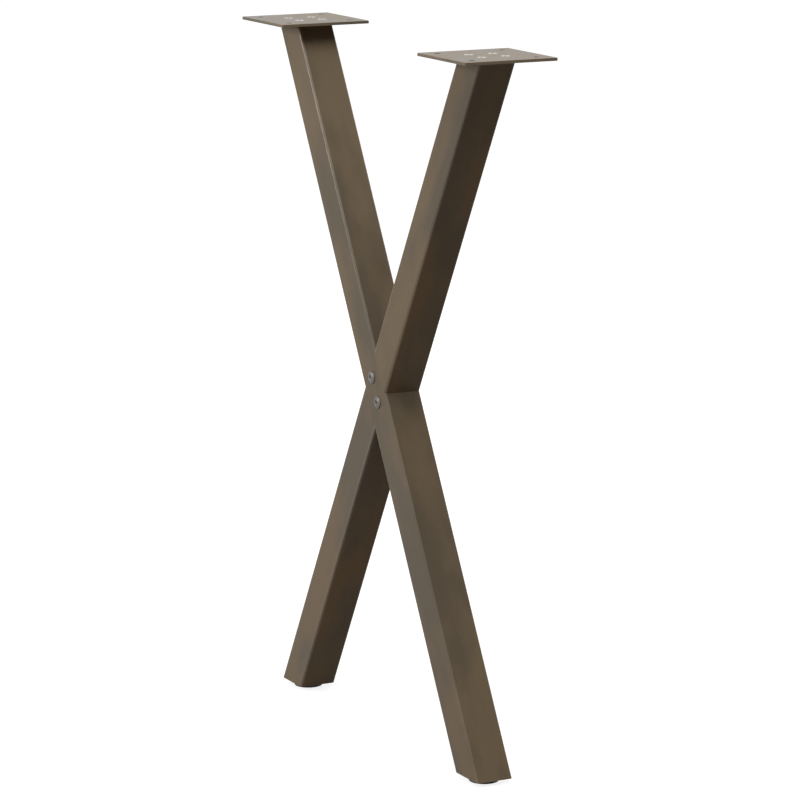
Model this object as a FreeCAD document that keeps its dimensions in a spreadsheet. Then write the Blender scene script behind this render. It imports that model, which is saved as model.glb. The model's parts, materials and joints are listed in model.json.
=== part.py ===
import FreeCAD, Part
import math
import os
import Sketcher
from FreeCAD import Placement, Rotation, Vector

# X-shaped table leg: two square tubes halved into each other, with a plate on each top and a levelling
# foot under each bottom. X runs along the leg's width, the front looks towards -Y, and Z = 0 is the floor.
# "Left" is the -X side, as seen from the front.

SIZES = {
    # Overall, with the feet screwed right in
    "overall_width": 500,
    "overall_height": 720,
    # Square tube and its halving joint
    "tube_side": 40,
    "tube_wall": 1.5,
    "tube_inner_corner": 1,
    "lap_gap": 0.2,
    # Top plates and the holes for the table top
    "plate_side": 100,
    "plate_thick": 3,
    "plate_corner": 2,
    "plate_edge_break": 0.4,
    "mount_pitch": 70,
    "mount_hole_dia": 6,
    # Countersunk screws that hold the plates to the tapped inserts
    "screw_inset": 5.5,
    "screw_dia": 5,
    "screw_hole_play": 0.5,
    "screw_land": 0.5,
    "screw_sink": 0.1,
    "screw_seat_gap": 0.05,
    "screw_tip": 2,
    "screw_socket": 3,
    "screw_socket_depth": 1.6,
    "top_insert_thick": 5,
    "insert_gap": 0.2,
    # Bolts through the crossing and the plate they are screwed into
    "bolt_pitch": 27,
    "bolt_dia": 8,
    "bolt_hole_play": 1,
    "bolt_engage": 6.5,
    "bolt_head_dia": 13,
    "bolt_head_rise": 2.2,
    "bolt_head_rim": 0.8,
    "bolt_head_flat": 6.5,
    "bolt_head_dome": 9.8,
    "bolt_socket": 5,
    "bolt_socket_depth": 2.2,
    "nut_plate_thick": 10,
    "nut_plate_margin": 9,
    "nut_plate_gap": 0.3,
    "nut_plate_bevel": 2,
    # Levelling feet
    "foot_travel": 10,
    "foot_insert_thick": 4,
    "foot_nut_flats": 13,
    "foot_nut_height": 6.5,
    "stud_dia": 8,
    "stud_spare": 4.5,
    "stud_head_flats": 13,
    "stud_head_thick": 2.5,
    "pad_dia": 30,
    "pad_floor": 1.2,
    "pad_cover": 1.3,
    "pad_floor_bevel": 1,
    "pad_top_bevel": 0.4,
    # Every thread
    "thread_gap": 0.05,
    "thread_chamfer": 0.8,
}

# Shared lengths, worked out from the sheet
PAD_HEIGHT = "(Sizes.pad_floor + Sizes.stud_head_thick + Sizes.pad_cover)"
TOP_CUT = "(Sizes.overall_height - Sizes.plate_thick)"
TUBE_HEIGHT = f"({TOP_CUT} - {PAD_HEIGHT})"
SPREAD = "(Sizes.overall_width - Sizes.plate_side)"
TILT = f"atan({SPREAD} / {TUBE_HEIGHT})"
TUBE_LENGTH = f"({TUBE_HEIGHT} / cos({TILT}))"
MID_HEIGHT = f"({PAD_HEIGHT} + {TUBE_HEIGHT} / 2)"
TUBE_HALF = "(Sizes.tube_side / 2)"
TUBE_BORE = "(Sizes.tube_side - 2 * Sizes.tube_wall)"
SCREW_PITCH = f"({TUBE_BORE} - 2 * Sizes.screw_inset)"
TUBE_OUTER_CORNER = "(Sizes.tube_inner_corner + Sizes.tube_wall)"
SCREW_HOLE_DIA = "(Sizes.screw_dia + Sizes.screw_hole_play)"
SCREW_HEAD_DIA = "(Sizes.screw_dia + 2 * (Sizes.plate_thick - Sizes.screw_land))"
BOLT_LENGTH = "(Sizes.tube_side - Sizes.tube_wall - Sizes.nut_plate_thick + Sizes.bolt_engage)"
STUD_BORE = "(Sizes.stud_dia + 2 * Sizes.thread_gap)"
STUD_SHOULDER = "(Sizes.pad_floor + Sizes.stud_head_thick)"
STUD_REACH = "(Sizes.foot_insert_thick + Sizes.foot_nut_height + Sizes.foot_travel + Sizes.stud_spare)"

SIDES = {"left": -1, "right": 1}
CORNER_SIGNS = [(-1, -1), (1, -1), (1, 1), (-1, 1)]
HEX_SIDES = 6
FULL_TURN = 360
QUARTER_TURN = 90
LEVEL_TOLERANCE = 1e-4

doc = FreeCAD.newDocument("x_table_leg")
sheet = doc.addObject("Spreadsheet::Sheet", "Sizes")
for row, (alias, size) in enumerate(SIZES.items(), start=1):
    sheet.set(f"A{row}", alias)
    sheet.set(f"B{row}", str(size))
    sheet.setAlias(f"B{row}", alias)
doc.recompute()


# Sketch helpers

def number(expression):
    """Present value of an expression on the sheet."""
    result = sheet.evalExpression(expression)
    return float(getattr(result, "Value", result))


def new_body(label):
    body = doc.addObject("PartDesign::Body", label)
    body.Label = label
    return body


def new_sketch(body, name, role, lift=None):
    """Sketch on one of the body's origin planes, lifted along the plane's normal."""
    plane = next(feature for feature in body.Origin.OriginFeatures if feature.Role == role)
    sketch = body.newObject("Sketcher::SketchObject", f"{body.Label}_{name}")
    sketch.AttachmentSupport = [(plane, "")]
    sketch.MapMode = "FlatFace"
    if lift:
        sketch.setExpression("AttachmentOffset.Base.z", lift)
    return sketch


def bind(sketch, constraint, expression):
    index = sketch.addConstraint(constraint)
    sketch.renameConstraint(index, f"size_{index}")
    sketch.setExpression(f"Constraints.size_{index}", expression)


def pin(sketch, geometry, point, x, y):
    """Tie a point of the sketch to the origin by two expressions."""
    bind(sketch, Sketcher.Constraint("DistanceX", -1, 1, geometry, point, number(x)), x)
    bind(sketch, Sketcher.Constraint("DistanceY", -1, 1, geometry, point, number(y)), y)


def arc_between(start, end, radius):
    """Minor arc that bulges to the right of the way from start to end."""
    chord = end - start
    middle = (start + end) / 2
    sagitta = radius - math.sqrt(radius ** 2 - (chord.Length / 2) ** 2)
    outward = Vector(chord.y, -chord.x, 0).normalize()
    return Part.ArcOfCircle(start, middle + outward * sagitta, end)


def outline(sketch, corners, arcs=None):
    """Closed outline, anticlockwise through corners given as expressions.

    arcs maps the number of an edge, counted from its first corner, to the radius of an arc there.
    """
    arcs = arcs or {}
    points = [Vector(number(x), number(y), 0) for x, y in corners]
    edges = []
    for index, start in enumerate(points):
        end = points[(index + 1) % len(points)]
        if index in arcs:
            shape = arc_between(start, end, number(arcs[index]))
        else:
            shape = Part.LineSegment(start, end)
        edges.append(sketch.addGeometry(shape, False))
    for index, edge in enumerate(edges):
        sketch.addConstraint(Sketcher.Constraint("Coincident", edges[index - 1], 2, edge, 1))
        pin(sketch, edge, 1, *corners[index])
        if index in arcs:
            bind(sketch, Sketcher.Constraint("Radius", edge, number(arcs[index])), arcs[index])


def rounded_rectangle(sketch, width, depth, corner, centre_x="0"):
    """Rectangle with round corners, centred on the X axis of the sketch."""
    half_width = f"({width}) / 2"
    half_depth = f"({depth}) / 2"
    flat_width = f"({half_width} - {corner})"
    flat_depth = f"({half_depth} - {corner})"
    corners = [
        (f"{centre_x} - {flat_width}", f"-({half_depth})"),
        (f"{centre_x} + {flat_width}", f"-({half_depth})"),
        (f"{centre_x} + {half_width}", f"-({flat_depth})"),
        (f"{centre_x} + {half_width}", flat_depth),
        (f"{centre_x} + {flat_width}", half_depth),
        (f"{centre_x} - {flat_width}", half_depth),
        (f"{centre_x} - {half_width}", flat_depth),
        (f"{centre_x} - {half_width}", f"-({flat_depth})"),
    ]
    outline(sketch, corners, {edge: corner for edge in (1, 3, 5, 7)})


def hexagon(sketch, flats):
    """Hexagon about the sketch's origin, with two flats across X."""
    half_step = FULL_TURN / HEX_SIDES / 2
    corner_radius = f"({flats} / 2 / cos({half_step} deg))"
    turns = [half_step + step * FULL_TURN / HEX_SIDES for step in range(HEX_SIDES)]
    outline(sketch, [
        (f"{corner_radius} * cos({turn} deg)", f"{corner_radius} * sin({turn} deg)")
        for turn in turns
    ])


def circle(sketch, diameter, x="0", y="0"):
    radius = f"({diameter}) / 2"
    ring = Part.Circle(Vector(number(x), number(y), 0), Vector(0, 0, 1), number(radius))
    geometry = sketch.addGeometry(ring, False)
    bind(sketch, Sketcher.Constraint("Radius", geometry, number(radius)), radius)
    pin(sketch, geometry, 3, x, y)


def square_of_circles(sketch, pitch, diameter):
    """Four circles on the corners of a square about the sketch's origin."""
    for across, along in CORNER_SIGNS:
        circle(sketch, diameter, f"{across} * {pitch} / 2", f"{along} * {pitch} / 2")


# Feature helpers

def pad(body, sketch, length, side_type="One side", reverse=False):
    feature = body.newObject("PartDesign::Pad", f"{sketch.Label}_pad")
    feature.Profile = sketch
    feature.SideType = side_type
    feature.Reversed = reverse
    feature.setExpression("Length", length)
    doc.recompute()
    return feature


def pocket(body, sketch, length, side_type="One side", reverse=False):
    """Cut against the sketch's normal, or along it where reversed; a cut that misses is an error."""
    before = body.Shape.Volume
    feature = body.newObject("PartDesign::Pocket", f"{sketch.Label}_pocket")
    feature.Profile = sketch
    feature.SideType = side_type
    feature.Reversed = reverse
    feature.setExpression("Length", length)
    doc.recompute()
    if body.Shape.Volume >= before:
        raise RuntimeError(f"{feature.Label} cuts nothing")
    return feature


def revolve(body, sketch):
    feature = body.newObject("PartDesign::Revolution", f"{sketch.Label}_turned")
    feature.Profile = sketch
    feature.ReferenceAxis = (sketch, ["V_Axis"])
    feature.Angle = FULL_TURN
    doc.recompute()
    return feature


def bevel(body, name, size, wanted):
    """Chamfer the edges of the body's last feature for which wanted(edge) holds."""
    base = body.Tip
    edges = [f"Edge{index}" for index, edge in enumerate(base.Shape.Edges, start=1) if wanted(edge)]
    feature = body.newObject("PartDesign::Chamfer", f"{body.Label}_{name}")
    feature.Base = (base, edges)
    feature.setExpression("Size", size)
    doc.recompute()
    return feature


def level_edge(height):
    """Test for an edge that lies all at one height of its body."""
    return lambda edge: all(abs(vertex.Z - height) < LEVEL_TOLERANCE for vertex in edge.Vertexes)


def place(body, x="0", y="0", z="0"):
    for axis, expression in (("x", x), ("y", y), ("z", z)):
        body.setExpression(f"Placement.Base.{axis}", expression)


def lean(body, sense):
    """Turn the body about Y through the tubes' tilt: sense 1 leans its top to +X, -1 to -X."""
    body.Placement = Placement(Vector(), Rotation(Vector(0, sense, 0), number(TILT)))
    place(body, z=MID_HEIGHT)
    body.setExpression("Placement.Rotation.Angle", TILT)


# Tubes

def lapped_tube(label, sense):
    """Square tube with level ends and half its depth cut away where the other tube crosses it.

    The body's Z is the tube's axis and its origin is the crossing. The tube that leans to -X keeps its
    front half and is cut at the back; the other keeps its back half.
    """
    body = new_body(label)
    section = new_sketch(body, "section", "XY_Plane")
    rounded_rectangle(section, "Sizes.tube_side", "Sizes.tube_side", TUBE_OUTER_CORNER)
    rounded_rectangle(section, TUBE_BORE, TUBE_BORE, "Sizes.tube_inner_corner")
    pad(body, section, f"{TUBE_LENGTH} + 2 * Sizes.tube_side", "Symmetric")

    reach = "2 * Sizes.tube_side"
    across = (f"cos({TILT})", f"{sense} * sin({TILT})")
    upward = (f"{-sense} * sin({TILT})", f"cos({TILT})")
    ends = new_sketch(body, "ends", "XZ_Plane")
    for end in (1, -1):
        centre = ("0", f"{end} * {TUBE_LENGTH} / 2")
        outline(ends, [
            tuple(f"{middle} + {reach} * ({rise} * {up} + {run} * {along})"
                  for middle, up, along in zip(centre, upward, across))
            for rise, run in ((0, -end), (0, end), (end, end), (end, -end))
        ])
    pocket(body, ends, "2 * Sizes.tube_side", "Symmetric")

    lap_half = f"({TUBE_HALF} + Sizes.lap_gap) / sin(2 * {TILT})"
    slope = f"{-sense} / tan(2 * {TILT})"
    lap = new_sketch(body, "lap", "XZ_Plane")
    outline(lap, [
        (f"{side} * Sizes.tube_side", f"{side} * Sizes.tube_side * {slope} + {edge} * {lap_half}")
        for side, edge in CORNER_SIGNS
    ])
    pocket(body, lap, "Sizes.tube_side", reverse=sense > 0)
    lean(body, sense)
    return body


def front_tube():
    """The tube whose front wall runs across the crossing and takes the two bolts."""
    body = lapped_tube("front_lap_tube", -1)
    holes = new_sketch(body, "bolt_holes", "XZ_Plane")
    for end in (-1, 1):
        circle(holes, "Sizes.bolt_dia + Sizes.bolt_hole_play", y=f"{end} * Sizes.bolt_pitch / 2")
    pocket(body, holes, "Sizes.tube_side", reverse=True)
    return body


# Crossing

def cross_nut_plate():
    """Tapped plate inside the rear tube's back wall, its back edges bevelled to clear the tube's corners."""
    body = new_body("cross_nut_plate")
    width = f"({TUBE_BORE} - 2 * Sizes.nut_plate_gap)"
    height = f"(Sizes.bolt_pitch * cos(2 * {TILT}) + 2 * Sizes.nut_plate_margin)"
    section = new_sketch(body, "section", "XY_Plane")
    back = f"({TUBE_HALF} - Sizes.tube_wall)"
    front = f"({back} - Sizes.nut_plate_thick)"
    slant = "Sizes.nut_plate_bevel"
    outline(section, [
        (f"-{width} / 2", front),
        (f"{width} / 2", front),
        (f"{width} / 2", f"{back} - {slant}"),
        (f"{width} / 2 - {slant}", back),
        (f"{slant} - {width} / 2", back),
        (f"-{width} / 2", f"{back} - {slant}"),
    ])
    pad(body, section, height, "Symmetric")
    threads = new_sketch(body, "threads", "XZ_Plane")
    for end in (-1, 1):
        circle(
            threads,
            "Sizes.bolt_dia + 2 * Sizes.thread_gap",
            f"{-end} * Sizes.bolt_pitch / 2 * sin(2 * {TILT})",
            f"{end} * Sizes.bolt_pitch / 2 * cos(2 * {TILT})",
        )
    pocket(body, threads, "Sizes.tube_side")
    lean(body, 1)
    return body


def cross_bolt(label, end):
    """Domed hex-socket bolt, with its head on the front tube's front face."""
    body = new_body(label)
    shank = "(Sizes.bolt_dia / 2)"
    profile = new_sketch(body, "profile", "XZ_Plane")
    outline(profile, [
        ("0", f"-{BOLT_LENGTH}"),
        (f"{shank} - Sizes.thread_chamfer", f"-{BOLT_LENGTH}"),
        (shank, f"Sizes.thread_chamfer - {BOLT_LENGTH}"),
        (shank, "0"),
        ("Sizes.bolt_head_dia / 2", "0"),
        ("Sizes.bolt_head_dia / 2", "Sizes.bolt_head_rim"),
        ("Sizes.bolt_head_flat / 2", "Sizes.bolt_head_rise"),
        ("0", "Sizes.bolt_head_rise"),
    ], {5: "Sizes.bolt_head_dome"})
    revolve(body, profile)
    socket = new_sketch(body, "socket", "XY_Plane", "Sizes.bolt_head_rise")
    hexagon(socket, "Sizes.bolt_socket")
    pocket(body, socket, "Sizes.bolt_socket_depth")
    body.Placement = Placement(Vector(), Rotation(Vector(1, 0, 0), QUARTER_TURN))
    along = f"{end} * Sizes.bolt_pitch / 2"
    place(body, f"-{along} * sin({TILT})", f"-{TUBE_HALF}", f"{MID_HEIGHT} + {along} * cos({TILT})")
    return body


# Top plates

def top_plate(name, side):
    body = new_body(f"{name}_top_plate")
    blank = new_sketch(body, "blank", "XY_Plane")
    rounded_rectangle(blank, "Sizes.plate_side", "Sizes.plate_side", "Sizes.plate_corner")
    pad(body, blank, "Sizes.plate_thick")
    rims = [level_edge(0), level_edge(number("Sizes.plate_thick"))]
    bevel(body, "edge", "Sizes.plate_edge_break", lambda edge: any(rim(edge) for rim in rims))
    mounts = new_sketch(body, "mount_holes", "XY_Plane", "Sizes.plate_thick")
    square_of_circles(mounts, "Sizes.mount_pitch", "Sizes.mount_hole_dia")
    pocket(body, mounts, "2 * Sizes.plate_thick")
    centres = new_sketch(body, "screw_centres", "XY_Plane", "Sizes.plate_thick")
    square_of_circles(centres, SCREW_PITCH, SCREW_HOLE_DIA)
    doc.recompute()
    holes = body.newObject("PartDesign::Hole", f"{name}_screw_holes")
    holes.Profile = centres
    holes.DepthType = "ThroughAll"
    holes.HoleCutType = "Countersink"
    holes.HoleCutCustomValues = True
    holes.HoleCutCountersinkAngle = QUARTER_TURN
    holes.setExpression("Diameter", SCREW_HOLE_DIA)
    holes.setExpression("HoleCutDiameter", SCREW_HEAD_DIA)
    place(body, f"{side} * {SPREAD} / 2", z=TOP_CUT)
    return body


def insert_blank(body, side, thick, reverse):
    """Upright-edged plate that just passes into the leaning bore of a tube, level with its cut end."""
    slip = f"{thick} * tan({TILT})"
    width = f"({TUBE_BORE} / cos({TILT}) - {slip} - 2 * Sizes.insert_gap)"
    blank = new_sketch(body, "blank", "XY_Plane")
    rounded_rectangle(
        blank,
        width,
        f"({TUBE_BORE} - 2 * Sizes.insert_gap)",
        "(2 * Sizes.tube_inner_corner)",
        f"{-side} * {slip} / 2",
    )
    pad(body, blank, thick, reverse=reverse)


def top_insert(name, side):
    body = new_body(f"{name}_top_insert")
    insert_blank(body, side, "Sizes.top_insert_thick", True)
    threads = new_sketch(body, "threads", "XY_Plane")
    square_of_circles(threads, SCREW_PITCH, "Sizes.screw_dia + 2 * Sizes.thread_gap")
    pocket(body, threads, "2 * Sizes.top_insert_thick")
    place(body, f"{side} * {SPREAD} / 2", z=TOP_CUT)
    return body


def plate_screw(label, side, across, along):
    """Countersunk hex-socket screw, its head just under the plate's face."""
    body = new_body(label)
    shank = "(Sizes.screw_dia / 2)"
    head = f"({SCREW_HEAD_DIA} / 2 - Sizes.screw_sink - Sizes.screw_seat_gap)"
    tip = "(Sizes.screw_sink - Sizes.plate_thick - Sizes.top_insert_thick - Sizes.screw_tip)"
    profile = new_sketch(body, "profile", "XZ_Plane")
    outline(profile, [
        ("0", tip),
        (f"{shank} - Sizes.thread_chamfer", tip),
        (shank, f"{tip} + Sizes.thread_chamfer"),
        (shank, f"{shank} - {head}"),
        (head, "0"),
        ("0", "0"),
    ])
    revolve(body, profile)
    socket = new_sketch(body, "socket", "XY_Plane")
    hexagon(socket, "Sizes.screw_socket")
    pocket(body, socket, "Sizes.screw_socket_depth")
    place(
        body,
        f"{side} * {SPREAD} / 2 + {across} * {SCREW_PITCH} / 2",
        f"{along} * {SCREW_PITCH} / 2",
        "Sizes.overall_height - Sizes.screw_sink",
    )
    return body


# Levelling feet

def foot_insert(name, side):
    body = new_body(f"{name}_foot_insert")
    insert_blank(body, side, "Sizes.foot_insert_thick", False)
    bore = new_sketch(body, "bore", "XY_Plane", "Sizes.foot_insert_thick")
    circle(bore, STUD_BORE)
    pocket(body, bore, "2 * Sizes.foot_insert_thick")
    place(body, f"{side} * {SPREAD} / 2", z=PAD_HEIGHT)
    return body


def foot_nut(name, side):
    body = new_body(f"{name}_foot_nut")
    section = new_sketch(body, "section", "XY_Plane")
    hexagon(section, "Sizes.foot_nut_flats")
    circle(section, STUD_BORE)
    pad(body, section, "Sizes.foot_nut_height")
    place(body, f"{side} * {SPREAD} / 2", z=f"{PAD_HEIGHT} + Sizes.foot_insert_thick")
    return body


def foot_stud(name, side):
    """Threaded stud with a thin hexagon head that is moulded into the pad."""
    body = new_body(f"{name}_foot_stud")
    head = new_sketch(body, "head", "XY_Plane", "Sizes.pad_floor")
    hexagon(head, "Sizes.stud_head_flats")
    pad(body, head, "Sizes.stud_head_thick")
    shank = new_sketch(body, "shank", "XY_Plane", STUD_SHOULDER)
    circle(shank, "Sizes.stud_dia")
    pad(body, shank, f"{PAD_HEIGHT} + {STUD_REACH} - {STUD_SHOULDER}")
    tip = number(f"{PAD_HEIGHT} + {STUD_REACH}")
    bevel(body, "tip", "Sizes.thread_chamfer", level_edge(tip))
    place(body, f"{side} * {SPREAD} / 2")
    return body


def foot_pad(name, side):
    """Round plastic pad, moulded round the stud's head."""
    body = new_body(f"{name}_foot_pad")
    disc = new_sketch(body, "disc", "XY_Plane")
    circle(disc, "Sizes.pad_dia")
    pad(body, disc, PAD_HEIGHT)
    bevel(body, "floor_edge", "Sizes.pad_floor_bevel", level_edge(0))
    bevel(body, "top_edge", "Sizes.pad_top_bevel", level_edge(number(PAD_HEIGHT)))
    seat = new_sketch(body, "head_seat", "XY_Plane", "Sizes.pad_floor")
    hexagon(seat, "Sizes.stud_head_flats")
    pocket(body, seat, "Sizes.stud_head_thick", reverse=True)
    bore = new_sketch(body, "bore", "XY_Plane", STUD_SHOULDER)
    circle(bore, STUD_BORE)
    pocket(body, bore, "2 * Sizes.pad_cover", reverse=True)
    place(body, f"{side} * {SPREAD} / 2")
    return body


# Assembly

def group(label, bodies):
    """One node of several like fasteners."""
    compound = doc.addObject("Part::Compound", label)
    compound.Label = label
    compound.Links = bodies
    return compound


def check(node):
    for item in [node, *node.OutListRecursive]:
        if {"Invalid", "Error"} & set(item.State):
            raise RuntimeError(f"{item.Label} failed: {item.State}")
    if node.Shape.isNull() or not node.Shape.isValid():
        raise RuntimeError(f"{node.Label} has no valid shape")


nodes = [front_tube(), lapped_tube("rear_lap_tube", 1), cross_nut_plate()]
nodes.append(group("cross_bolts", [cross_bolt("upper_bolt", 1), cross_bolt("lower_bolt", -1)]))
for name, side in SIDES.items():
    screws = [plate_screw(f"{name}_screw_{index}", side, *signs) for index, signs in enumerate(CORNER_SIGNS)]
    nodes.append(group(f"{name}_plate_screws", screws))
    for make in (top_plate, top_insert, foot_insert, foot_nut, foot_stud, foot_pad):
        nodes.append(make(name, side))

doc.recompute()
for node in nodes:
    check(node)
os.makedirs("parts", exist_ok=True)
for node in nodes:
    node.Shape.exportStep(f"parts/{node.Label}.step")
    print(f"{node.Label}: {len(node.Shape.Solids)} solids, {node.Shape.Volume:.1f} mm3")
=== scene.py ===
"""An x shaped table leg: two square tubes halved into each other, with top plates and levelling feet."""

import json
import math

import bmesh
import bpy
from mathutils import Matrix, Vector


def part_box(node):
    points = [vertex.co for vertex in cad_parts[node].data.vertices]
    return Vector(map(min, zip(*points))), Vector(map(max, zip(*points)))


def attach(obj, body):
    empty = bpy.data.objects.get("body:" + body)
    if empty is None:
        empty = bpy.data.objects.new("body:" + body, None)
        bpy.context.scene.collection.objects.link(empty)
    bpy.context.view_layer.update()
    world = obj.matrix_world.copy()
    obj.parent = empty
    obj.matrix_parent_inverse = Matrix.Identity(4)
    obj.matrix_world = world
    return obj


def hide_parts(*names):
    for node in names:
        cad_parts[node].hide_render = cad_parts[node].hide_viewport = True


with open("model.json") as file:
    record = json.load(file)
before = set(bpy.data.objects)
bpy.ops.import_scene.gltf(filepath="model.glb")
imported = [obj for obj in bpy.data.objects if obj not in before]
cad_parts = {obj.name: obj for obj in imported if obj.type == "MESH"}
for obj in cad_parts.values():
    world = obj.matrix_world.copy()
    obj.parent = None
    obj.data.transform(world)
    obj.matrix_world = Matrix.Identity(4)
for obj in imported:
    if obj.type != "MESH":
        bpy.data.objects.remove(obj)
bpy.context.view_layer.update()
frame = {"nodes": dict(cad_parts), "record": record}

MM = 0.001
SIDES = ("left", "right")

# The tubes, from the frame and the section of the steel.
TUBE_WALL = 1.5 * MM
TUBE_CORNER = 2.5 * MM
TUBE_CORNER_STEPS = 8
LAP_GAP = 0.2 * MM
SEAM_FILL = 0.85
SEAM_STEPS = 4
TUBE_LOW, TUBE_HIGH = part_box("front_lap_tube")
TUBE_HALF = (TUBE_HIGH.y - TUBE_LOW.y) / 2
TUBE_RISE = TUBE_HIGH.z - TUBE_LOW.z
CROSSING = Vector((0, 0, (TUBE_LOW.z + TUBE_HIGH.z) / 2))
FOOT_MIDDLES = [sum(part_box(f"{side}_foot_pad"), Vector()).x / 2 for side in SIDES]
LEAN = math.atan2(FOOT_MIDDLES[1] - FOOT_MIDDLES[0], TUBE_RISE)

# The plates and their screws.
PLATE_CORNER = 2 * MM
PLATE_CORNER_STEPS = 8
PLATE_EDGE = 0.35 * MM
HOLE_EDGE = 0.3 * MM
SCREW_PITCH = 26 * MM
SCREW_RADIUS = 2.5 * MM
SCREW_THREAD = 0.8 * MM
SCREW_SOCKET = 3 * MM
SCREW_SOCKET_DEPTH = 1.6 * MM
SCREW_RIM = 0.25 * MM
SCREW_EDGE = 0.12 * MM
COUNTERSINK_PLAY = 0.1 * MM
SCREW_HOLE_PLAY = 0.25 * MM

# The two bolts at the crossing.
BOLT_PITCH = 27 * MM
BOLT_RADIUS = 4 * MM
BOLT_HOLE_RADIUS = 4.5 * MM
BOLT_THREAD = 1.25 * MM
BOLT_HEAD_RADIUS = 6.5 * MM
BOLT_HEAD_RIM = 0.8 * MM
BOLT_HEAD_FLAT = 3.25 * MM
BOLT_SOCKET = 5 * MM
BOLT_SOCKET_DEPTH = 2.2 * MM
BOLT_EDGE = 0.15 * MM
DOME_STEPS = 7

# The levelling feet.
STUD_RADIUS = 4 * MM
STUD_THREAD = 1.25 * MM
STUD_HEAD = 13 * MM
STUD_HEAD_THICK = 2.5 * MM
STUD_GAP = 0.05 * MM
PAD_EDGE = 0.8 * MM
PAD_DRAFT = 0.3 * MM
PAD_GROOVE_INNER = 9 * MM
PAD_GROOVE_OUTER = 11 * MM
PAD_GROOVE_DEPTH = 0.4 * MM

# How finely round things are stepped. A ring's vertices are shared out over a hexagon's six sides.
RING_STEPS = 48
HEXAGON = 6
EDGE_STEPS = 3
THREAD_FLAT = 1 / 8
THREAD_FLANK = 5 / 16
THREAD_ROOT = 1 / 4
TIP_TAPER = 0.8 * MM
MERGE = 0.001 * MM
DRAWN_APART = 20 * MM
SHARP = math.radians(40)
NEARLY_ALONG = 0.9

# The finishes: each goes from its first colour to its second. Clouds start where the photograph has them.
BRONZE = ((0.140, 0.111, 0.075, 1), (0.206, 0.153, 0.096, 1))
CLOUD_STRETCH = 2.4
FRONT_CLOUDS = (-0.7, -1.4, 0.6)
REAR_CLOUDS = (-1.39, -0.04, -1.84)
PLATE_CLOUDS = (0, 0, 0)
CORNER_GLOSS_START = 0.05
CORNER_GLOSS_FULL = 0.3
BRIGHT_ZINC = ((0.60, 0.60, 0.58, 1), (0.74, 0.74, 0.73, 1))
DULL_NICKEL = ((0.11, 0.102, 0.096, 1), (0.16, 0.149, 0.14, 1))
# Pale matte grey, painted light in the bolts' hexagon sockets.
PAINTED_SOCKET_LIGHT = ((0.42, 0.40, 0.38, 1), (0.54, 0.52, 0.50, 1))
# Near-black, painted shade in the screws' hexagon sockets.
PAINTED_SOCKET_SHADE = ((0.035, 0.033, 0.03, 1), (0.06, 0.056, 0.05, 1))
MILL_SCALE = ((0.085, 0.087, 0.092, 1), (0.16, 0.158, 0.155, 1))
BROWN_BLOOM = (0.13, 0.085, 0.055, 1)
BLACK_PLASTIC = ((0.010, 0.010, 0.010, 1), (0.021, 0.020, 0.019, 1))

# The camera, fitted to the photograph's tubes and plates.
VIEW_TURN = math.radians(62.92)
VIEW_RISE = math.radians(11.24)
VIEW_DISTANCE = 3.9445
VIEW_SLIDE = (0.0079, -0.0120)
LENS = 174.3

# The studio: lamps by name, with place, size and power, and how bright the floor and the room are.
SOFTBOXES = (
    ("side_softbox", (2.4, -0.9, 4.9), 3.3, 160),
    ("front_softbox", (-0.6, -1.6, 1.1), 0.55, 17),
    ("overhead_softbox", (-0.3, 0, 3.0), 1.2, 9),
    ("back_softbox", (-1.2, 2.7, 1.5), 1.2, 40),
)
WHITE = (1, 1, 1, 1)
ROOM_LIGHT = 0.085
FLOOR_HALF = 8
FLOOR_BOUNCE = (0.20, 0.14, 0.08, 1)
FLOOR_SHADOWED = (0.32, 0.32, 0.32, 1)
FLOOR_GLOW = 0.85
FLOOR_FADE = (0.5, 1.4)


class Shade:
    """A socket of a node tree. Sums on it add Math nodes, and add() puts in any other node."""

    def __init__(self, tree, socket=None):
        self.tree = tree
        self.socket = socket

    def add(self, kind, settings=None, inputs=None, output=0):
        """Add a node, give it its settings and then its inputs, and return one output."""
        node = self.tree.nodes.new(kind)
        for name, value in (settings or {}).items():
            setattr(node, name, value)
        for name, value in (inputs or {}).items():
            if isinstance(value, Shade):
                self.tree.links.new(value.socket, node.inputs[name])
            else:
                node.inputs[name].default_value = value
        return Shade(self.tree, node.outputs[output] if node.outputs else None)

    def math(self, operation, *values):
        """A Math node on these values or links."""
        return self.add("ShaderNodeMath", {"operation": operation}, dict(enumerate(values)))

    def __add__(self, other):
        return self.math("ADD", self, other)

    def __rsub__(self, other):
        return self.math("SUBTRACT", other, self)

    def __mul__(self, other):
        return self.math("MULTIPLY", self, other)

    __radd__ = __add__
    __rmul__ = __mul__

    def between(self, low, high):
        """Nothing below low, all above high, and a smooth rise from one to the other."""
        settings = {"interpolation_type": "SMOOTHSTEP"}
        return self.add("ShaderNodeMapRange", settings, {"Value": self, "From Min": low, "From Max": high})

    def colours(self, first, second):
        """A colour that goes from first to second as this value goes from 0 to 1."""
        settings = {"data_type": "RGBA"}
        return self.add("ShaderNodeMix", settings, {0: self, 6: first, 7: second}, output=2)

    def noise(self, scale, detail=2.0, roughness=0.5):
        """Noise at this place, with scale in cells to a metre."""
        inputs = {"Vector": self, "Scale": scale, "Detail": detail, "Roughness": roughness}
        return self.add("ShaderNodeTexNoise", {}, inputs)

    def bump(self, distance, strength):
        """A normal from this value, read as a height."""
        inputs = {"Height": self, "Distance": distance, "Strength": strength}
        return self.add("ShaderNodeBump", {}, inputs)


def new_material(name):
    """An empty material, and the place on the surface that its patterns start from."""
    made = bpy.data.materials.new(name)
    made.use_nodes = True
    made.node_tree.nodes.clear()
    return made, Shade(made.node_tree).add("ShaderNodeTexCoord", output="Object")


def surface(place, inputs):
    """End a material with a shader that has these inputs."""
    shader = place.add("ShaderNodeBsdfPrincipled", {}, inputs)
    place.add("ShaderNodeOutputMaterial", {}, {"Surface": shader})


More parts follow.
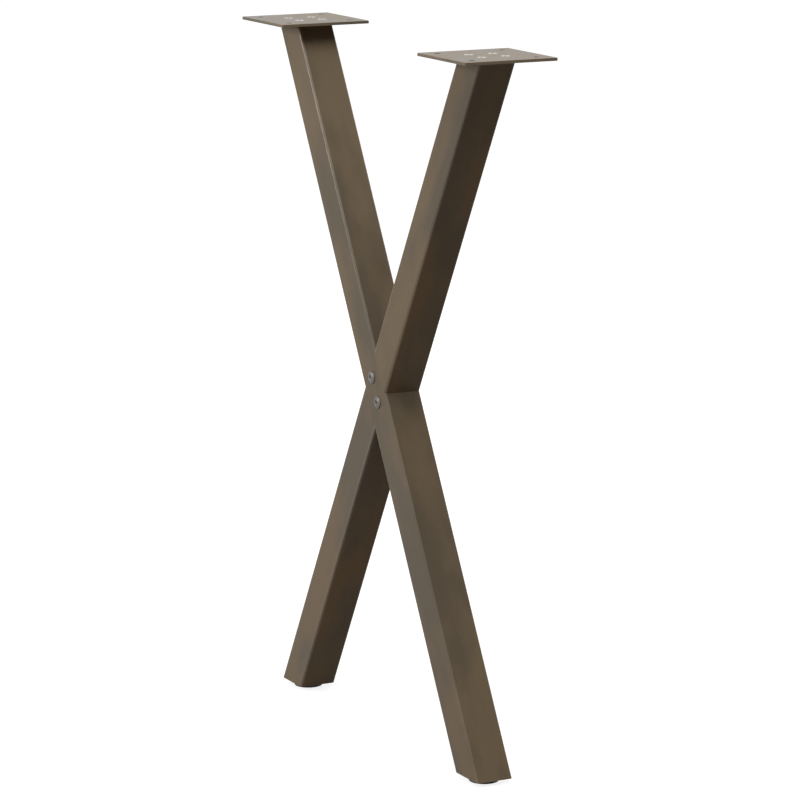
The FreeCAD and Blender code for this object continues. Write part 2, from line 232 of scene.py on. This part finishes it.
def front_corners(place, lean):
    """One on the rounded front corners of a tube that leans this way, and nothing on the rest of it."""
    inside = place.add("ShaderNodeMapping", {"vector_type": "TEXTURE"}, {
        "Vector": place,
        "Location": CROSSING,
        "Rotation": (0, lean, 0),
    })
    sideways = inside.add("ShaderNodeSeparateXYZ", {}, {0: inside}, "X")
    backwards = inside.add("ShaderNodeSeparateXYZ", {}, {0: inside}, "Y")
    outwards = inside.math("MINIMUM", inside.math("ABSOLUTE", sideways), -1 * backwards)
    flat = TUBE_HALF - TUBE_CORNER
    return outwards.between(flat + CORNER_GLOSS_START * TUBE_CORNER, flat + CORNER_GLOSS_FULL * TUBE_CORNER)


def bronze_lacquer(name, lean, start, gloss, tone=1.0, shiny_corners=False):
    """Satin bronze lacquer. Its tan and olive clouds are drawn out along a tube that leans this way."""
    made, place = new_material(name)
    along = place.add("ShaderNodeMapping", {"vector_type": "TEXTURE"}, {
        "Vector": place,
        "Location": start,
        "Rotation": (0, lean, 0),
        "Scale": (1, 1, CLOUD_STRETCH),
    })
    clouds = along.noise(scale=13)
    patches = along.noise(scale=41)
    flakes = place.noise(scale=1700, roughness=0.6)
    peel = place.noise(scale=420)
    warmth = (clouds + 0.35 * patches).between(0.55, 0.80)
    grain = flakes.between(0.25, 0.75)
    tint = warmth.colours(*BRONZE)
    light = tone * (0.90 + 0.20 * grain)
    finish = {
        "Base Color": tint.add("ShaderNodeVectorMath", {"operation": "SCALE"}, {0: tint, "Scale": light}),
        "Roughness": 0.34 + 0.08 * warmth + 0.06 * grain,
        "Specular IOR Level": gloss,
        "Normal": (peel + 0.15 * flakes).bump(0.03 * MM, 0.2),
    }
    if shiny_corners:
        finish.update({
            "Coat Weight": front_corners(place, lean),
            "Coat Roughness": 0.22,
            "Coat IOR": 1.3,
        })
    surface(place, finish)
    return made


def plated_steel(name, colours, rough, metal=1.0):
    """Plated steel between two colours, with the faint cloudiness of the bath."""
    made, place = new_material(name)
    clouds = place.noise(scale=450, detail=3, roughness=0.6)
    scratches = place.noise(scale=2600)
    surface(place, {
        "Base Color": clouds.between(0.3, 0.7).colours(*colours),
        "Metallic": metal,
        "Roughness": rough + 0.16 * clouds + 0.06 * scratches,
        "Normal": scratches.bump(0.02 * MM, 0.25),
    })
    return made


def mill_steel(name):
    """Bare rolled steel under its grey-blue mill scale, with brown bloom in places."""
    made, place = new_material(name)
    scale_skin = place.noise(scale=240, detail=4, roughness=0.6)
    bloom = place.noise(scale=90, detail=3).between(0.52, 0.72)
    steel = scale_skin.between(0.3, 0.7).colours(*MILL_SCALE)
    surface(place, {
        "Base Color": bloom.colours(steel, BROWN_BLOOM),
        "Metallic": 0.85 - 0.35 * bloom,
        "Roughness": 0.42 + 0.2 * scale_skin,
        "Normal": scale_skin.bump(0.05 * MM, 0.3),
    })
    return made


def moulded_black(name):
    """Black moulded plastic with the fine spark texture of its mould."""
    made, place = new_material(name)
    spark = place.noise(scale=1500, detail=3, roughness=0.6)
    scuffs = place.noise(scale=160, detail=3, roughness=0.6).between(0.5, 0.75)
    surface(place, {
        "Base Color": scuffs.colours(*BLACK_PLASTIC),
        "Roughness": 0.5 + 0.12 * spark + 0.08 * scuffs,
        "Specular IOR Level": 0.35,
        "Normal": spark.bump(0.06 * MM, 0.4),
    })
    return made


def add_piece(name, bm, finishes, body, node):
    """Close a mesh up as a piece of the leg, which stands for a node and moves with a body."""
    bmesh.ops.remove_doubles(bm, verts=bm.verts, dist=MERGE)
    bmesh.ops.recalc_face_normals(bm, faces=bm.faces)
    mesh = bpy.data.meshes.new(name)
    bm.to_mesh(mesh)
    bm.free()
    mesh.shade_smooth()
    mesh.set_sharp_from_angle(angle=SHARP)
    for finish in finishes:
        mesh.materials.append(finish)
    made = bpy.data.objects.new(name, mesh)
    bpy.context.scene.collection.objects.link(made)
    shading = made.modifiers.new("even_shading", "WEIGHTED_NORMAL")
    shading.keep_sharp = True
    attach(made, body)
    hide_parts(node)
    return made


def open_edges(bm, wanted=lambda at: True):
    """The edges at the rim of an opening, where the middle of each is wanted."""
    return [e for e in bm.edges if e.is_boundary and wanted((e.verts[0].co + e.verts[1].co) / 2)]


def new_edges(bm, older):
    """The edges that were made after the older ones."""
    return [e for e in bm.edges if e not in older]


def ring(bm, sides, radius, height, centre=(0, 0)):
    """A level ring of edges: round, or with a few straight sides that radius reaches the corners of."""
    older = set(bm.edges)
    place = Matrix.Translation((*centre, height))
    bmesh.ops.create_circle(bm, segments=sides, radius=radius, matrix=place)
    if sides < RING_STEPS:
        bmesh.ops.subdivide_edges(bm, edges=new_edges(bm, older), cuts=RING_STEPS // sides - 1)
    return new_edges(bm, older)


def round_ring(radius, height):
    """What ring() needs for a round one."""
    return RING_STEPS, radius, height


def hexagon_ring(flats, height):
    """What ring() needs for a hexagon that is this wide across its flats."""
    return HEXAGON, flats / 2 / math.cos(math.pi / HEXAGON), height


def square_ring(bm, half, corner, height):
    """A level square of edges with round corners."""
    older = set(bm.edges)
    place = Matrix.Translation((0, 0, height))
    square = bmesh.ops.create_grid(bm, x_segments=1, y_segments=1, size=half, matrix=place)
    bmesh.ops.bevel(bm, geom=square["verts"], offset=corner, affect="VERTICES",
                    segments=PLATE_CORNER_STEPS, profile=0.5, material=-1)
    sheet = [f for f in bm.faces if not older.intersection(f.edges) and len(f.verts) > PLATE_CORNER_STEPS]
    bmesh.ops.delete(bm, geom=sheet, context="FACES_ONLY")
    return new_edges(bm, older)


def join_rings(bm, rings):
    """Walls from each ring to the next. Rings at one height are drawn apart while they are joined."""
    for ring_edges, next_edges in zip(rings, rings[1:]):
        moved = list({vert for edge in next_edges for vert in edge.verts})
        level = abs(ring_edges[0].verts[0].co.z - moved[0].co.z) < MERGE
        lift = Vector((0, 0, DRAWN_APART if level else 0))
        bmesh.ops.translate(bm, verts=moved, vec=lift)
        bmesh.ops.bridge_loops(bm, edges=ring_edges + next_edges)
        bmesh.ops.translate(bm, verts=moved, vec=-lift)


def fill(bm, edges):
    """One flat face in each ring of edges."""
    bmesh.ops.edgeloop_fill(bm, edges=edges)


def soften(bm, edges, width):
    """Round these edges off."""
    bmesh.ops.bevel(bm, geom=edges, offset=width, affect="EDGES", segments=2, profile=0.5, material=-1)


def mark_socket(bm, flats, low, high):
    """Give the walls and floor of a hexagon socket, about the Z axis, the piece's second material: painted
    light in the bolts' sockets, painted shade in the screws' sockets.
    """
    reach = hexagon_ring(flats, low)[1] + MERGE
    for face in bm.faces:
        middle = face.calc_center_median()
        if math.hypot(middle.x, middle.y) < reach and low - MERGE < middle.z < high - MERGE:
            face.material_index = 1


def thread(bm, radius, pitch, low, high):
    """A screw thread between two heights. Returns the rims of its lower and upper ends."""
    depth = THREAD_FLANK * pitch * math.tan(math.pi / 3)
    root_start = THREAD_FLAT + THREAD_FLANK
    tooth = (
        (radius, 0),
        (radius, THREAD_FLAT),
        (radius - depth, root_start),
        (radius - depth, root_start + THREAD_ROOT),
    )
    turns = math.ceil((high - low) / pitch) + 2
    profile = []
    for turn in range(turns):
        for distance, rise in tooth:
            profile.append(bm.verts.new((distance, 0, low + (turn - 1 + rise) * pitch)))
    line = [bm.edges.new(pair) for pair in zip(profile, profile[1:])]
    bmesh.ops.spin(bm, geom=profile + line, cent=(0, 0, 0), axis=(0, 0, 1), angle=math.tau,
                   dvec=(0, 0, pitch / RING_STEPS), steps=RING_STEPS, use_merge=False)
    bmesh.ops.remove_doubles(bm, verts=bm.verts, dist=MERGE)
    for height, side in ((low, {"clear_inner": True}), (high, {"clear_outer": True})):
        bmesh.ops.bisect_plane(bm, geom=bm.verts[:] + bm.edges[:] + bm.faces[:], plane_co=(0, 0, height),
                               plane_no=(0, 0, 1), dist=MERGE, **side)
    middle = (low + high) / 2
    return open_edges(bm, lambda at: at.z < middle), open_edges(bm, lambda at: at.z > middle)


def tapered_tip(bm, rim, radius, height):
    """Close a thread's end with a short cone."""
    end = ring(bm, *round_ring(radius, height))
    join_rings(bm, [rim, end])
    fill(bm, end)


def copies(bm, places):
    """The mesh once for each place, in one mesh."""
    whole = bmesh.new()
    pattern = bpy.data.meshes.new("pattern")
    bm.to_mesh(pattern)
    bm.free()
    for place in places:
        older = set(whole.verts)
        whole.from_mesh(pattern)
        bmesh.ops.transform(whole, matrix=place, verts=[v for v in whole.verts if v not in older])
    bpy.data.meshes.remove(pattern)
    return whole


def tube_skin(bm, half, corner, turn):
    """The bare skin of a long square tube with round corners, through the crossing."""
    older = set(bm.verts)
    place = Matrix.Translation(CROSSING) @ turn @ Matrix.Diagonal((2 * half, 2 * half, 2 * TUBE_RISE, 1))
    made = bmesh.ops.create_cube(bm, size=1, matrix=place)
    axis = turn @ Vector((0, 0, 1))
    long_edges = []
    ends = []
    for vert in made["verts"]:
        for edge in vert.link_edges:
            run = (edge.verts[1].co - edge.verts[0].co).normalized()
            if abs(run.dot(axis)) > NEARLY_ALONG and edge not in long_edges:
                long_edges.append(edge)
    bmesh.ops.bevel(bm, geom=long_edges, offset=corner, affect="EDGES", segments=TUBE_CORNER_STEPS,
                    profile=0.5, material=-1)
    for face in bm.faces:
        if not older.intersection(face.verts) and abs(face.normal.dot(axis)) > NEARLY_ALONG:
            ends.append(face)
    bmesh.ops.delete(bm, geom=ends, context="FACES")


def bolt_seats():
    """The two places on the front tube's front face where the bolt heads sit."""
    axis = Matrix.Rotation(-LEAN, 4, "Y") @ Vector((0, 0, 1))
    face_middle = CROSSING + Vector((0, TUBE_LOW.y, 0))
    return [face_middle + along * BOLT_PITCH / 2 * axis for along in (-1, 1)]


def drill_front(bm, seats):
    """Drill the bolt holes through a tube's front wall, at the seats of the bolts."""
    facing = Matrix.Rotation(math.pi / 2, 4, "X")
    rims = []
    for inwards in (Vector((0, 0, 0)), Vector((0, TUBE_WALL, 0))):
        middle = sum(seats, Vector()) / len(seats) + inwards
        skin = min(bm.faces, key=lambda face: (face.calc_center_median() - middle).length)
        outline = skin.edges[:]
        bmesh.ops.delete(bm, geom=[skin], context="FACES_ONLY")
        circles = []
        for seat in seats:
            older = set(bm.edges)
            place = Matrix.Translation(seat + inwards) @ facing
            bmesh.ops.create_circle(bm, segments=RING_STEPS, radius=BOLT_HOLE_RADIUS, matrix=place)
            circles.append(new_edges(bm, older))
        bmesh.ops.triangle_fill(bm, use_beauty=True, use_dissolve=False, edges=outline + sum(circles, []))
        rims.append(circles)
    for outer, inner in zip(*rims):
        bmesh.ops.bridge_loops(bm, edges=outer + inner)


def lapped_tube(name, node, sense, kept, finish, seats=()):
    """A hollow tube that leans by sense, and keeps one half of itself where the other tube crosses."""
    turn = Matrix.Rotation(sense * LEAN, 4, "Y")
    other_side = Matrix.Rotation(-sense * LEAN, 4, "Y") @ Vector((1, 0, 0))
    bm = bmesh.new()
    tube_skin(bm, TUBE_HALF, TUBE_CORNER, turn)
    tube_skin(bm, TUBE_HALF - TUBE_WALL, TUBE_CORNER - TUBE_WALL, turn)
    reach = TUBE_HALF + LAP_GAP
    cuts = [
        (TUBE_LOW, (0, 0, -1), True),
        (TUBE_HIGH, (0, 0, 1), True),
        (CROSSING - reach * other_side, other_side, False),
        (CROSSING + reach * other_side, other_side, False),
        (CROSSING, (0, 1, 0), False),
    ]
    for place, facing, cleared in cuts:
        bmesh.ops.bisect_plane(bm, geom=bm.verts[:] + bm.edges[:] + bm.faces[:], plane_co=place,
                               plane_no=facing, dist=MERGE, clear_outer=cleared)
    lapped = []
    for face in bm.faces:
        middle = face.calc_center_median()
        if abs((middle - CROSSING).dot(other_side)) < reach and middle.y * kept < 0:
            lapped.append(face)
    bmesh.ops.delete(bm, geom=lapped, context="FACES")
    if seats:
        drill_front(bm, seats)
    near = TUBE_RISE / 4
    for end in (-1, 1):
        rim = open_edges(bm, lambda at: (at.z - CROSSING.z) * end > near)
        bmesh.ops.triangle_fill(bm, use_beauty=True, use_dissolve=False, edges=rim)
        cut = open_edges(bm, lambda at: abs((at - CROSSING).dot(other_side) * end - reach) < MERGE)
        lap = bmesh.ops.bridge_loops(bm, edges=cut)
        bmesh.ops.subdivide_edges(bm, edges=lap["edges"], cuts=SEAM_STEPS, use_grid_fill=True)
    fill(bm, open_edges(bm))
    for vert in bm.verts:
        across = (vert.co - CROSSING).dot(other_side)
        depth = TUBE_HALF + vert.co.y * kept
        if abs(abs(across) - reach) < MERGE and depth < TUBE_CORNER:
            rest = TUBE_CORNER - max(depth, 0)
            room = TUBE_CORNER - math.sqrt(TUBE_CORNER ** 2 - rest ** 2)
            vert.co -= math.copysign(SEAM_FILL * room, across) * other_side
    return add_piece(name, bm, [finish], "leg_frame", node)


def edge_steps(radius):
    """How far in and how far down each step of a rounded edge lies."""
    angles = [step * math.pi / 2 / EDGE_STEPS for step in range(EDGE_STEPS + 1)]
    return [(radius * (1 - math.sin(a)), radius * (1 - math.cos(a))) for a in angles]


def top_plate(name, node, screws_node, finish, rim_finish):
    """A square plate with plain corner holes and countersunk holes for the screws."""
    low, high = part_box(node)
    half = (high.x - low.x) / 2
    centre = (low + high) / 2
    screw_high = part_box(screws_node)[1]
    sink = screw_high.x - centre.x - SCREW_PITCH / 2 + COUNTERSINK_PLAY
    cone_top = screw_high.z - SCREW_RIM
    dims = frame["record"]["mounts"][0]["dims"]
    hole = dims["hole_r_mm"] * MM
    bm = bmesh.new()
    outer = [square_ring(bm, half - inset, PLATE_CORNER - inset, high.z - drop)
             for inset, drop in edge_steps(PLATE_EDGE)]
    outer += [square_ring(bm, half - inset, PLATE_CORNER - inset, low.z + drop)
              for inset, drop in reversed(edge_steps(PLATE_EDGE))]
    walls = [outer]
    for x in (-1, 1):
        for y in (-1, 1):
            corner = (x * dims["spacing_x_mm"] / 2 * MM, y * dims["spacing_y_mm"] / 2 * MM)
            rounded = edge_steps(HOLE_EDGE)
            steps = [(hole + inset, high.z - drop) for inset, drop in rounded]
            steps += [(hole + inset, low.z + drop) for inset, drop in reversed(rounded)]
            walls.append([ring(bm, *round_ring(*step), corner) for step in steps])
            inner = (x * SCREW_PITCH / 2, y * SCREW_PITCH / 2)
            narrow = SCREW_RADIUS + SCREW_HOLE_PLAY
            steps = [
                (sink + COUNTERSINK_PLAY, high.z),
                (sink, high.z - COUNTERSINK_PLAY),
                (sink, cone_top),
                (narrow, cone_top - (sink - narrow)),
                (narrow, low.z),
            ]
            walls.append([ring(bm, *round_ring(*step), inner) for step in steps])
    for wall in walls:
        join_rings(bm, wall)
    for end in (0, -1):
        rims = [edge for wall in walls for edge in wall[end]]
        bmesh.ops.triangle_fill(bm, use_beauty=True, use_dissolve=False, edges=rims)
    for face in bm.faces:
        middle = face.calc_center_median()
        if max(abs(middle.x), abs(middle.y)) > half - PLATE_EDGE and low.z < middle.z < high.z - MERGE:
            face.material_index = 1
    bmesh.ops.translate(bm, verts=bm.verts, vec=(centre.x, centre.y, 0))
    return add_piece(name, bm, [finish, rim_finish], "leg_frame", node)


def plate_screws(name, node, finish, painted_socket_tone):
    """Four countersunk screws with hexagon sockets."""
    low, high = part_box(node)
    centre = (low + high) / 2
    length = high.z - low.z
    head = high.x - centre.x - SCREW_PITCH / 2
    cone_low = SCREW_RADIUS - SCREW_RIM - head
    bm = bmesh.new()
    tip, shoulder = thread(bm, SCREW_RADIUS, SCREW_THREAD, TIP_TAPER - length, cone_low)
    tapered_tip(bm, tip, SCREW_RADIUS - TIP_TAPER, -length)
    rings = [
        ring(bm, *round_ring(head, -SCREW_RIM)),
        ring(bm, *round_ring(head, 0)),
        ring(bm, *hexagon_ring(SCREW_SOCKET, 0)),
        ring(bm, *hexagon_ring(SCREW_SOCKET, -SCREW_SOCKET_DEPTH)),
    ]
    join_rings(bm, [shoulder] + rings)
    fill(bm, rings[-1])
    # The socket's walls and floor take the second material, painted shade.
    mark_socket(bm, SCREW_SOCKET, -SCREW_SOCKET_DEPTH, 0)
    soften(bm, rings[1] + rings[2], SCREW_EDGE)
    middle = Vector((centre.x, centre.y, high.z))
    half = SCREW_PITCH / 2
    places = [Matrix.Translation(middle + Vector((x, y, 0))) for x in (-half, half) for y in (-half, half)]
    return add_piece(name, copies(bm, places), [finish, painted_socket_tone], "leg_frame", node)


def cross_bolts(name, node, finish, painted_socket_tone):
    """Two domed bolts with hexagon sockets, on the front tube's axis."""
    low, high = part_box(node)
    length = high.y - TUBE_LOW.y
    rise = TUBE_LOW.y - low.y
    fall = rise - BOLT_HEAD_RIM
    dome_centre = (BOLT_HEAD_FLAT ** 2 + rise ** 2 - BOLT_HEAD_RADIUS ** 2 - BOLT_HEAD_RIM ** 2) / (2 * fall)
    dome_radius = math.hypot(BOLT_HEAD_RADIUS, BOLT_HEAD_RIM - dome_centre)
    dome = []
    for step in range(DOME_STEPS + 1):
        radius = BOLT_HEAD_RADIUS + (BOLT_HEAD_FLAT - BOLT_HEAD_RADIUS) * step / DOME_STEPS
        dome.append((radius, dome_centre + math.sqrt(dome_radius ** 2 - radius ** 2)))
    bm = bmesh.new()
    tip, shoulder = thread(bm, BOLT_RADIUS, BOLT_THREAD, TIP_TAPER - length, 0)
    tapered_tip(bm, tip, BOLT_RADIUS - TIP_TAPER, -length)
    seat = ring(bm, *round_ring(BOLT_HEAD_RADIUS, 0))
    domed = [ring(bm, *round_ring(*step)) for step in dome]
    socket = [
        ring(bm, *hexagon_ring(BOLT_SOCKET, rise)),
        ring(bm, *hexagon_ring(BOLT_SOCKET, rise - BOLT_SOCKET_DEPTH)),
    ]
    join_rings(bm, [shoulder, seat] + domed + socket)
    fill(bm, socket[-1])
    # The socket's walls and floor take the second material, painted light.
    mark_socket(bm, BOLT_SOCKET, rise - BOLT_SOCKET_DEPTH, rise)
    soften(bm, domed[0] + domed[-1] + socket[0], BOLT_EDGE)
    facing = Matrix.Rotation(math.pi / 2, 4, "X")
    places = [Matrix.Translation(seat) @ facing for seat in bolt_seats()]
    return add_piece(name, copies(bm, places), [finish, painted_socket_tone], "leg_frame", node)


def foot_stud(name, node, body, finish):
    """A threaded stud with the thin hexagon head that its pad is moulded round."""
    low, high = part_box(node)
    centre = (low + high) / 2
    head_top = low.z + STUD_HEAD_THICK
    bm = bmesh.new()
    root, tip = thread(bm, STUD_RADIUS, STUD_THREAD, head_top, high.z - TIP_TAPER)
    tapered_tip(bm, tip, STUD_RADIUS - TIP_TAPER, high.z)
    head = [
        ring(bm, *hexagon_ring(STUD_HEAD, head_top)),
        ring(bm, *hexagon_ring(STUD_HEAD, low.z)),
    ]
    join_rings(bm, [root] + head)
    fill(bm, head[-1])
    bmesh.ops.translate(bm, verts=bm.verts, vec=(centre.x, centre.y, 0))
    return add_piece(name, bm, [finish], body, node)


def foot_pad(name, node, stud_node, body, finish):
    """A round moulded pad with the pocket for the stud's head and a shallow groove in its sole."""
    low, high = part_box(node)
    centre = (low + high) / 2
    radius = (high.x - low.x) / 2
    head_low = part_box(stud_node)[0].z
    head_high = head_low + STUD_HEAD_THICK
    neck = STUD_RADIUS + STUD_GAP
    sole = [
        round_ring(PAD_GROOVE_INNER, low.z),
        round_ring(PAD_GROOVE_INNER, low.z + PAD_GROOVE_DEPTH),
        round_ring(PAD_GROOVE_OUTER, low.z + PAD_GROOVE_DEPTH),
        round_ring(PAD_GROOVE_OUTER, low.z),
    ]
    lower = [round_ring(radius - inset, low.z + drop) for inset, drop in edge_steps(PAD_EDGE)]
    brow = reversed(edge_steps(PAD_EDGE / 2))
    upper = [round_ring(radius - PAD_DRAFT - inset, high.z - drop) for inset, drop in brow]
    pocket = [
        round_ring(neck, high.z),
        round_ring(neck, head_high),
        hexagon_ring(STUD_HEAD + STUD_GAP, head_high),
        hexagon_ring(STUD_HEAD + STUD_GAP, head_low),
    ]
    bm = bmesh.new()
    rings = [ring(bm, *step) for step in sole + lower + upper + pocket]
    join_rings(bm, rings)
    fill(bm, rings[0])
    fill(bm, rings[-1])
    bmesh.ops.translate(bm, verts=bm.verts, vec=(centre.x, centre.y, 0))
    return add_piece(name, bm, [finish], body, node)


def build_leg():
    """Every piece of the leg, in its finish."""
    zinc = plated_steel("bright_zinc", BRIGHT_ZINC, rough=0.22)
    nickel = plated_steel("dull_nickel", DULL_NICKEL, rough=0.42)
    # Pale matte grey painted light for the bolts' sockets.
    painted_socket_light = plated_steel("painted_socket_light", PAINTED_SOCKET_LIGHT, rough=0.5, metal=0.0)
    # Near-black painted shade for the screws' sockets.
    socket = plated_steel("painted_socket_shade", PAINTED_SOCKET_SHADE, rough=0.22)
    steel = mill_steel("mill_steel")
    plastic = moulded_black("moulded_black")
    front_lacquer = bronze_lacquer("front_tube_lacquer", -LEAN, FRONT_CLOUDS, gloss=0.1, shiny_corners=True)
    rear_lacquer = bronze_lacquer("rear_tube_lacquer", LEAN, REAR_CLOUDS, gloss=0.1, shiny_corners=True)
    plate_lacquer = bronze_lacquer("plate_lacquer", 0, PLATE_CLOUDS, gloss=0.45, tone=0.86)
    rim_lacquer = bronze_lacquer("plate_rim_lacquer", 0, PLATE_CLOUDS, gloss=0.3, tone=0.94)
    lapped_tube("front_tube", "front_lap_tube", -1, -1, front_lacquer, bolt_seats())
    lapped_tube("rear_tube", "rear_lap_tube", 1, 1, rear_lacquer)
    cross_bolts("domed_bolts", "cross_bolts", nickel, painted_socket_light)
    for side in SIDES:
        foot = f"{side}_foot"
        top_plate(f"{side}_plate", f"{side}_top_plate", f"{side}_plate_screws", plate_lacquer, rim_lacquer)
        plate_screws(f"{side}_screws", f"{side}_plate_screws", zinc, socket)
        foot_stud(f"{side}_stud", f"{side}_foot_stud", foot, zinc)
        foot_pad(f"{side}_pad", f"{side}_foot_pad", f"{side}_foot_stud", foot, plastic)
    for name, node in frame["nodes"].items():
        if name.endswith("_foot_insert"):
            finish = plate_lacquer
        elif name.endswith(("_top_insert", "_nut", "_nut_plate")):
            finish = steel
        else:
            continue
        node.data.materials.clear()
        node.data.materials.append(finish)


def seen_rays(tree):
    """One for rays from the camera or off a glossy or clear surface, and nothing for the rest."""
    camera_ray, glossy_ray, clear_ray = [
        tree.add("ShaderNodeLightPath", output=f"Is {kind} Ray")
        for kind in ("Camera", "Glossy", "Transmission")
    ]
    return tree.math("MAXIMUM", tree.math("MAXIMUM", camera_ray, glossy_ray), clear_ray)


def floor_finish():
    """White to the eye, where it takes the leg's shadow, and dim to the light that it sends back up."""
    made, place = new_material("pale_floor")
    seen = seen_rays(place)
    dim = place.add("ShaderNodeBsdfDiffuse", {}, {"Color": FLOOR_BOUNCE})
    pale = place.add("ShaderNodeBsdfDiffuse", {}, {"Color": FLOOR_SHADOWED})
    distance = place.add("ShaderNodeVectorMath", {"operation": "LENGTH"}, {0: place}, "Value")
    away = distance.between(*FLOOR_FADE)
    glow = place.add("ShaderNodeEmission", {}, {"Strength": FLOOR_GLOW + (1 - FLOOR_GLOW) * away})
    shown = place.add("ShaderNodeAddShader", {}, {0: pale, 1: glow})
    mixed = place.add("ShaderNodeMixShader", {}, {0: seen, 1: dim, 2: shown})
    place.add("ShaderNodeOutputMaterial", {}, {"Surface": mixed})
    return made


def softbox(name, place, size, power):
    """A square lamp that faces the crossing."""
    lamp = bpy.data.lights.new(name, "AREA")
    lamp.size = size
    lamp.energy = power
    made = bpy.data.objects.new(name, lamp)
    made.location = place
    made.rotation_euler = (CROSSING - place).to_track_quat("-Z", "Y").to_euler()
    bpy.context.scene.collection.objects.link(made)


def studio():
    """A pale floor in a white room, with soft light from above, from the front and from behind."""
    scene = bpy.context.scene
    scene.view_settings.view_transform = "Standard"
    world = bpy.data.worlds.new("white_room")
    world.use_nodes = True
    world.node_tree.nodes.clear()
    scene.world = world
    room = Shade(world.node_tree)
    strength = ROOM_LIGHT + (1 - ROOM_LIGHT) * seen_rays(room)
    walls = room.add("ShaderNodeBackground", {}, {"Color": WHITE, "Strength": strength})
    room.add("ShaderNodeOutputWorld", {}, {"Surface": walls})
    bm = bmesh.new()
    bmesh.ops.create_grid(bm, x_segments=1, y_segments=1, size=FLOOR_HALF)
    mesh = bpy.data.meshes.new("floor")
    bm.to_mesh(mesh)
    bm.free()
    floor = bpy.data.objects.new("floor", mesh)
    scene.collection.objects.link(floor)
    mesh.materials.append(floor_finish())
    for name, place, size, power in SOFTBOXES:
        softbox(name, Vector(place), size, power)


def camera():
    """The photograph's view."""
    back = Vector((math.sin(VIEW_TURN) * math.cos(VIEW_RISE), -math.cos(VIEW_TURN) * math.cos(VIEW_RISE),
                   math.sin(VIEW_RISE)))
    right = Vector((math.cos(VIEW_TURN), math.sin(VIEW_TURN), 0))
    up = back.cross(right)
    eye = bpy.data.cameras.new("camera")
    eye.lens = LENS
    made = bpy.data.objects.new("camera", eye)
    place = CROSSING + VIEW_DISTANCE * back + VIEW_SLIDE[0] * right + VIEW_SLIDE[1] * up
    made.matrix_world = Matrix.Translation(place) @ Matrix((right, up, back)).transposed().to_4x4()
    bpy.context.scene.collection.objects.link(made)
    bpy.context.scene.camera = made


build_leg()
studio()
camera()
